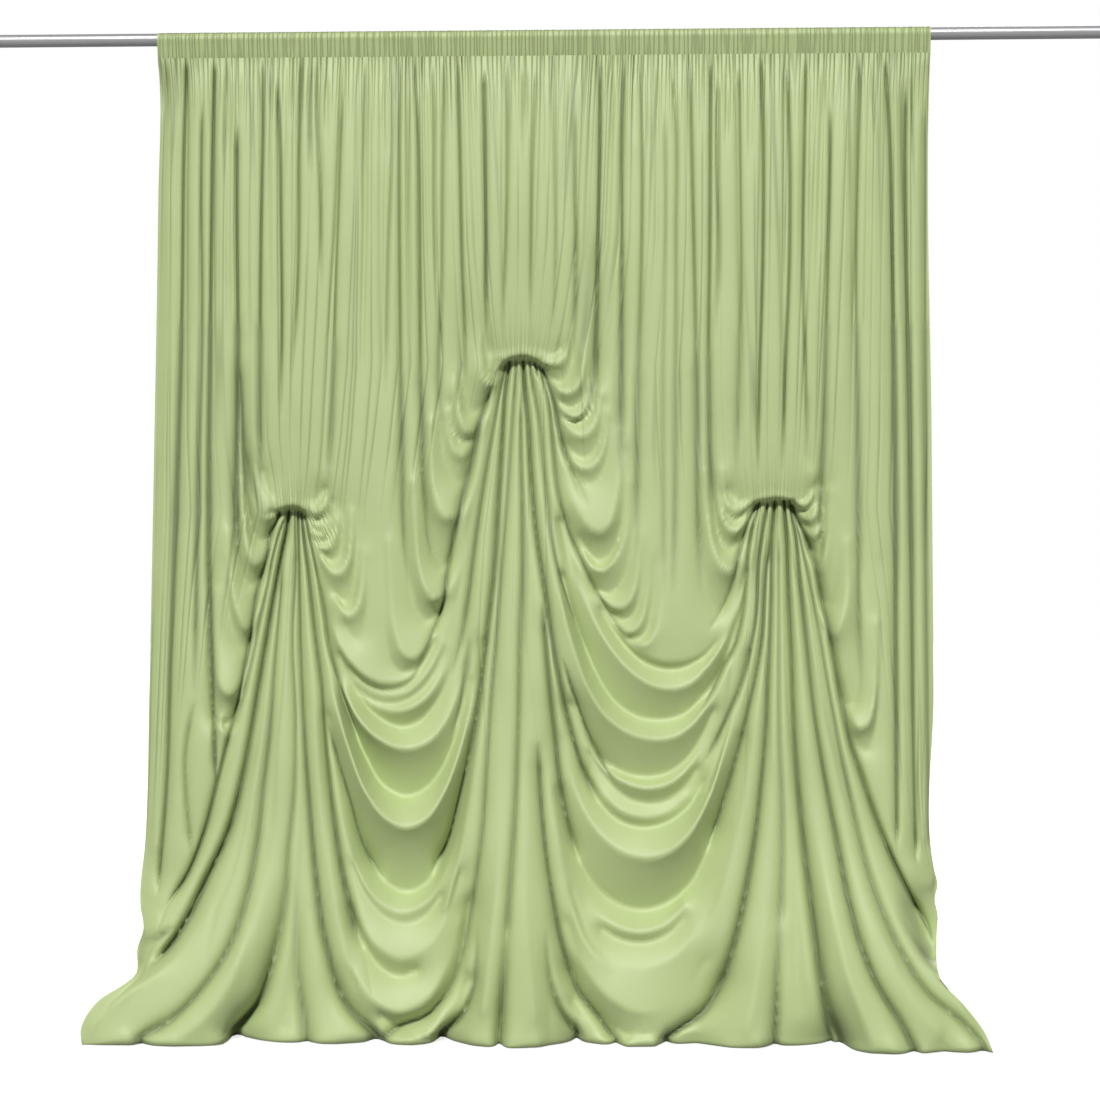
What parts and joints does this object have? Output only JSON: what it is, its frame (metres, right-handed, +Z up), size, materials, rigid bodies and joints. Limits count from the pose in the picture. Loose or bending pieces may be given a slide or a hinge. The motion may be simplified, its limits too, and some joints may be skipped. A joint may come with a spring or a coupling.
{
  "type": "spandex backdrop curtain on a rod",
  "caption": "Pleated stretch-fabric backdrop curtain, shirred on a round rod by a sewn pocket, pulled into gathers from which fans of folds fall to the floor.",
  "frame": {"origin": "on the floor, under the middle of the whole object's box", "axes": "+X to the viewer's right along the rod, -Y towards the viewer (the curtain's front), +Z up"},
  "size_m": [3.4, 0.2238, 3.031],
  "materials": {
    "spandex": "soft satin, sage green",
    "rod_metal": "plain satin"
  },
  "bodies": {
    "root": {"curtain": "spandex", "rod": "rod_metal"}
  },
  "joints": []
}
